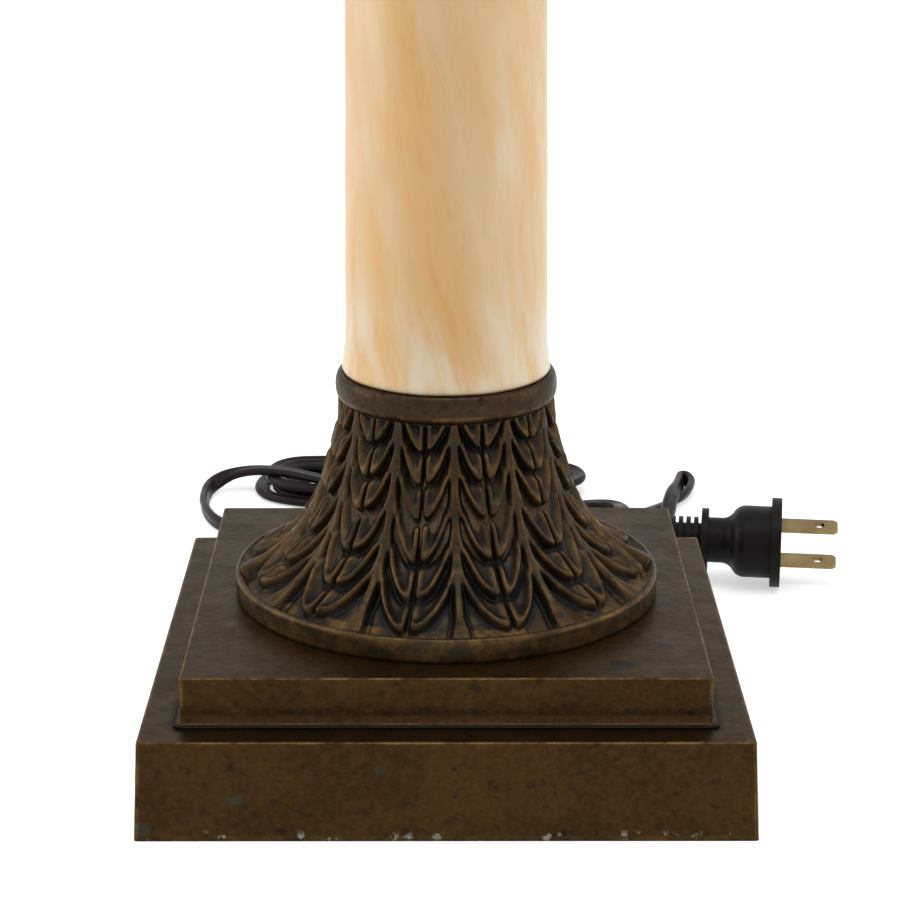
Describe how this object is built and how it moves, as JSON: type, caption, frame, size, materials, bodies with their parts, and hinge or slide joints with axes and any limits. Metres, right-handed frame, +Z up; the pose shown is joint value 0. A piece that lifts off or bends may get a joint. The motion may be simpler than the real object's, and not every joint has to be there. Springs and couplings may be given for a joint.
{
  "type": "column table lamp",
  "caption": "Table lamp with an onyx column on a leafed bronze foot and a stepped square plinth, with a leaf capital, keyed lamp holder, harp and flat twin lead with plug.",
  "frame": {"origin": "centre of the plinth's underside, on the table", "axes": "+Z up along the column, -Y the front, +Y the back wall that the lead leaves through, +X to the right"},
  "size_m": [0.211, 0.3104, 0.711],
  "materials": {
    "patinated_bronze": "satin",
    "lacquered_brass": "satin",
    "onyx": "satin",
    "zinc_plated_steel": "satin",
    "felt": "matte",
    "gasket_rubber": "matte",
    "fibre": "matte",
    "phenolic": "satin",
    "contact_brass": "satin",
    "cord_vinyl": "satin",
    "plug_vinyl": "satin",
    "blade_brass": "satin"
  },
  "bodies": {
    "lamp": {"lower_plinth": "patinated_bronze", "felt_pad": "felt", "upper_plinth": "patinated_bronze", "leaf_foot": "patinated_bronze", "bead_collar": "patinated_bronze", "column_gasket_lower": "gasket_rubber", "onyx_column": "onyx", "column_gasket_upper": "gasket_rubber", "astragal_ring": "patinated_bronze", "capital_bell": "patinated_bronze", "abacus": "patinated_bronze", "tie_rod": "zinc_plated_steel", "bottom_washer": "zinc_plated_steel", "lock_washer": "zinc_plated_steel", "bottom_nut": "zinc_plated_steel", "top_cap": "lacquered_brass", "neck": "lacquered_brass", "top_nut": "lacquered_brass", "harp_saddle": "lacquered_brass", "socket_cap": "lacquered_brass", "set_screw": "zinc_plated_steel", "socket_shell": "lacquered_brass", "socket_liner": "fibre", "socket_core": "phenolic", "screw_shell": "contact_brass", "centre_contact": "contact_brass", "terminal_screws": "contact_brass", "cord_gland": "cord_vinyl", "lead_inside": "cord_vinyl", "cord_run": "cord_vinyl", "cord_coil": "cord_vinyl", "cord_tail": "cord_vinyl", "plug_body": "plug_vinyl", "plug_blades": "blade_brass"},
    "switch": {"switch_shaft": "zinc_plated_steel", "switch_key": "lacquered_brass"},
    "harp_loop": {"harp": "lacquered_brass", "harp_stud": "lacquered_brass"},
    "left_ferrule": {"ferrule_left": "lacquered_brass"},
    "right_ferrule": {"ferrule_right": "lacquered_brass"},
    "finial_knob": {"finial": "lacquered_brass"}
  },
  "joints": [
    {"name": "key_turn", "type": "hinge", "parent": "lamp", "child": "switch", "pos_m": [0, -0.02, 0.5125], "axis": [0, -1, 0], "continuous": true},
    {"name": "harp_lift", "type": "slide", "parent": "lamp", "child": "harp_loop", "axis": [0, 0, 1], "range_m": [0, 0.025]},
    {"name": "left_ferrule_slide", "type": "slide", "parent": "harp_loop", "child": "left_ferrule", "axis": [0, 0, 1], "range_m": [0, 0.01]},
    {"name": "right_ferrule_slide", "type": "slide", "parent": "harp_loop", "child": "right_ferrule", "axis": [0, 0, 1], "range_m": [0, 0.01]},
    {"name": "finial_turn", "type": "hinge", "parent": "harp_loop", "child": "finial_knob", "pos_m": [0, 0, 0.69], "axis": [0, 0, 1], "continuous": true}
  ]
}
